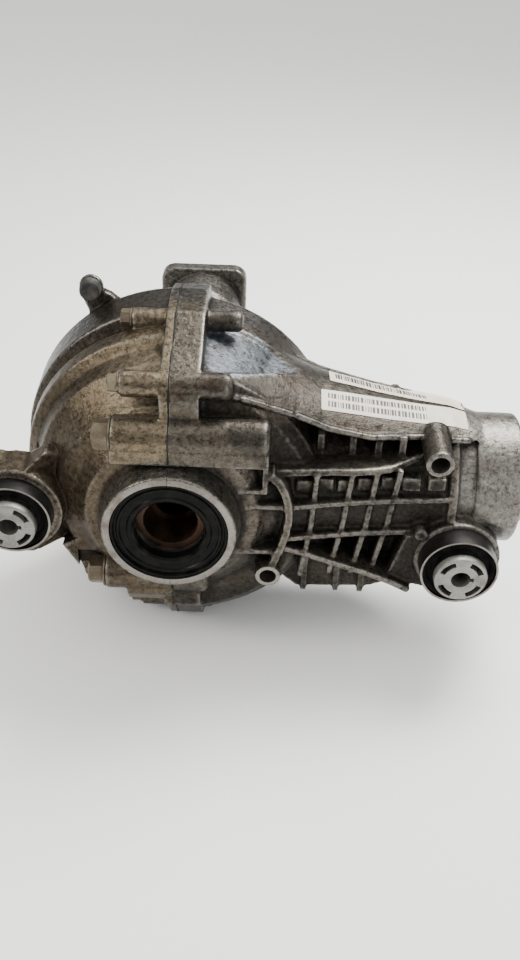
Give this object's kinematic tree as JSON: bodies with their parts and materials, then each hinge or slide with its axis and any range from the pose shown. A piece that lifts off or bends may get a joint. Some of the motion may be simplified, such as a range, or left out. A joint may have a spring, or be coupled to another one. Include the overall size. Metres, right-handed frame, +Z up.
{
  "type": "differential gear assembly",
  "caption": "Axle differential in a split ribbed aluminium casing, with a bevel drive, spider gears, tapered bearings, an axle tube, seals and rubber bushes.",
  "frame": {"origin": "centre of the bounding box's base", "axes": "+X along the pinion axis towards the input flange, +Y along the axle axis towards the tube, +Z up"},
  "size_m": [0.358, 0.322, 0.228],
  "materials": {
    "cast_grey": "sand cast, dull and stained",
    "cast_tan": "sand cast, pitted and oily brown",
    "steel": "turned",
    "gear_steel": "hardened, ground and oily",
    "zinc": "zinc plated, weathered",
    "rubber": "black, oily",
    "bush_alloy": "die cast, satin",
    "bronze": "turned",
    "black_cap": "moulded"
  },
  "bodies": {
    "housing": {"carrier_housing": "cast_grey", "cover_housing": "cast_tan", "axle_tube": "cast_grey", "cover_bolt_1": "zinc", "cover_bolt_2": "zinc", "cover_bolt_3": "zinc", "cover_bolt_4": "zinc", "cover_bolt_5": "zinc", "cover_bolt_6": "zinc", "cover_bolt_7": "zinc", "cover_bolt_8": "zinc", "tube_bolt_1": "zinc", "tube_bolt_2": "zinc", "tube_bolt_3": "zinc", "fill_plug": "steel", "drain_plug": "steel", "breather_cap": "black_cap", "near_output_seal": "rubber", "far_output_seal": "rubber", "pinion_seal": "rubber", "front_bush_sleeve": "steel", "front_bush_rubber": "rubber", "front_bush_core": "bush_alloy", "rear_bush_sleeve": "steel", "rear_bush_rubber": "rubber", "rear_bush_core": "bush_alloy", "near_bearing_cup": "steel", "far_bearing_cup": "steel", "head_bearing_cup": "steel", "tail_bearing_cup": "steel"},
    "pinion": {"drive_pinion": "gear_steel", "head_bearing_cone": "steel", "tail_bearing_cone": "steel", "crush_sleeve": "steel", "input_flange": "steel", "pinion_nut": "steel"},
    "diff_case": {"differential_case": "gear_steel", "ring_gear": "gear_steel", "ring_gear_bolt_1": "steel", "ring_gear_bolt_2": "steel", "ring_gear_bolt_3": "steel", "ring_gear_bolt_4": "steel", "ring_gear_bolt_5": "steel", "ring_gear_bolt_6": "steel", "cross_pin": "steel", "near_bearing_cone": "steel", "far_bearing_cone": "steel", "near_side_washer": "bronze", "far_side_washer": "bronze", "upper_spider_washer": "bronze", "lower_spider_washer": "bronze"},
    "near_output": {"near_side_gear": "gear_steel"},
    "far_output": {"far_side_gear": "gear_steel", "intermediate_shaft": "steel"},
    "upper_spider": {"upper_spider_gear": "gear_steel"},
    "lower_spider": {"lower_spider_gear": "gear_steel"},
    "near_rollers": {"near_bearing_rollers": "gear_steel"},
    "far_rollers": {"far_bearing_rollers": "gear_steel"},
    "head_rollers": {"head_bearing_rollers": "gear_steel"},
    "tail_rollers": {"tail_bearing_rollers": "gear_steel"}
  },
  "joints": [
    {"name": "case_spin", "type": "hinge", "parent": "housing", "child": "diff_case", "pos_m": [-0.048, -0.086, 0.114], "axis": [0, 1, 0], "continuous": true},
    {"name": "pinion_spin", "type": "hinge", "parent": "housing", "child": "pinion", "pos_m": [-0.048, -0.086, 0.114], "axis": [1, 0, 0], "continuous": true},
    {"name": "near_output_spin", "type": "hinge", "parent": "diff_case", "child": "near_output", "pos_m": [-0.048, -0.086, 0.114], "axis": [0, 1, 0], "continuous": true},
    {"name": "far_output_spin", "type": "hinge", "parent": "diff_case", "child": "far_output", "pos_m": [-0.048, -0.086, 0.114], "axis": [0, 1, 0], "continuous": true},
    {"name": "upper_spider_spin", "type": "hinge", "parent": "diff_case", "child": "upper_spider", "pos_m": [-0.048, -0.086, 0.114], "axis": [0, 0, 1], "continuous": true},
    {"name": "lower_spider_spin", "type": "hinge", "parent": "diff_case", "child": "lower_spider", "pos_m": [-0.048, -0.086, 0.114], "axis": [0, 0, 1], "continuous": true},
    {"name": "near_roller_spin", "type": "hinge", "parent": "housing", "child": "near_rollers", "pos_m": [-0.048, -0.086, 0.114], "axis": [0, 1, 0], "continuous": true},
    {"name": "far_roller_spin", "type": "hinge", "parent": "housing", "child": "far_rollers", "pos_m": [-0.048, -0.086, 0.114], "axis": [0, 1, 0], "continuous": true},
    {"name": "head_roller_spin", "type": "hinge", "parent": "housing", "child": "head_rollers", "pos_m": [-0.048, -0.086, 0.114], "axis": [1, 0, 0], "continuous": true},
    {"name": "tail_roller_spin", "type": "hinge", "parent": "housing", "child": "tail_rollers", "pos_m": [-0.048, -0.086, 0.114], "axis": [1, 0, 0], "continuous": true}
  ],
  "couplings": [
    {"joint": "pinion_spin", "follows": "case_spin", "ratio": -3.7273},
    {"joint": "near_roller_spin", "follows": "case_spin", "ratio": 0.4527},
    {"joint": "far_roller_spin", "follows": "case_spin", "ratio": 0.4527},
    {"joint": "head_roller_spin", "follows": "case_spin", "ratio": -1.5839},
    {"joint": "tail_roller_spin", "follows": "case_spin", "ratio": -1.5776},
    {"joint": "far_output_spin", "follows": "near_output_spin", "ratio": -1},
    {"joint": "upper_spider_spin", "follows": "near_output_spin", "ratio": 1.6},
    {"joint": "lower_spider_spin", "follows": "near_output_spin", "ratio": -1.6}
  ]
}
